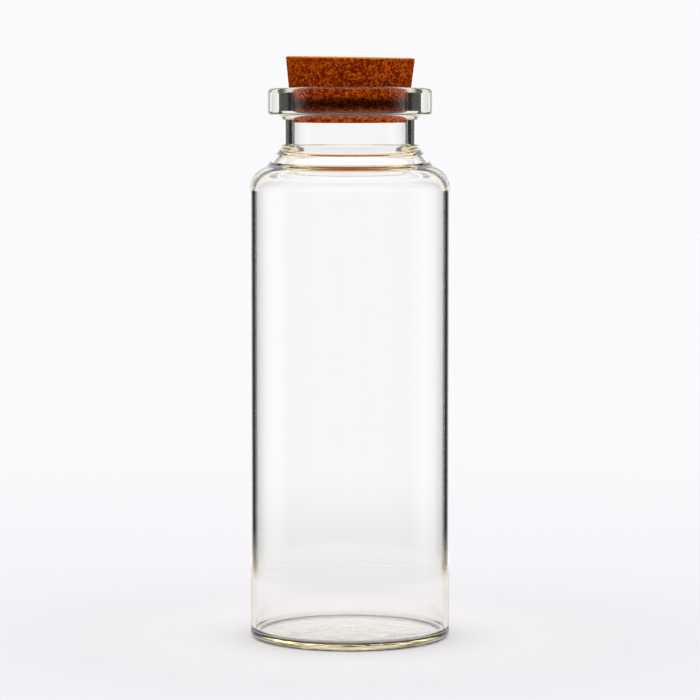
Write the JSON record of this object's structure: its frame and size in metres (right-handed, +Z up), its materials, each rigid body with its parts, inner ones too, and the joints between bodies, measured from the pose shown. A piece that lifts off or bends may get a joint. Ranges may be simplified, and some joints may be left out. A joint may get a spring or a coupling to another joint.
{
  "type": "corked glass vial",
  "caption": "Clear glass vial with a straight round body, sloping shoulder, short neck and flat-sided lip, closed by a short tapered stopper of granulated cork.",
  "frame": {"origin": "on the vial's axis, at the level of the surface that it stands on", "axes": "+Z up along the axis of the vial, which is also its longest direction; X and Y are alike"},
  "size_m": [0.03, 0.03, 0.0876],
  "materials": {
    "glass": "clear, fire-polished",
    "cork": "matt, fine granules pressed together"
  },
  "bodies": {
    "vial": {"glass_vial": "glass"},
    "stopper": {"cork_stopper": "cork"}
  },
  "joints": [
    {"name": "stopper_pull", "type": "slide", "parent": "vial", "child": "stopper", "axis": [0, 0, 1], "range_m": [0, 0.03]}
  ]
}
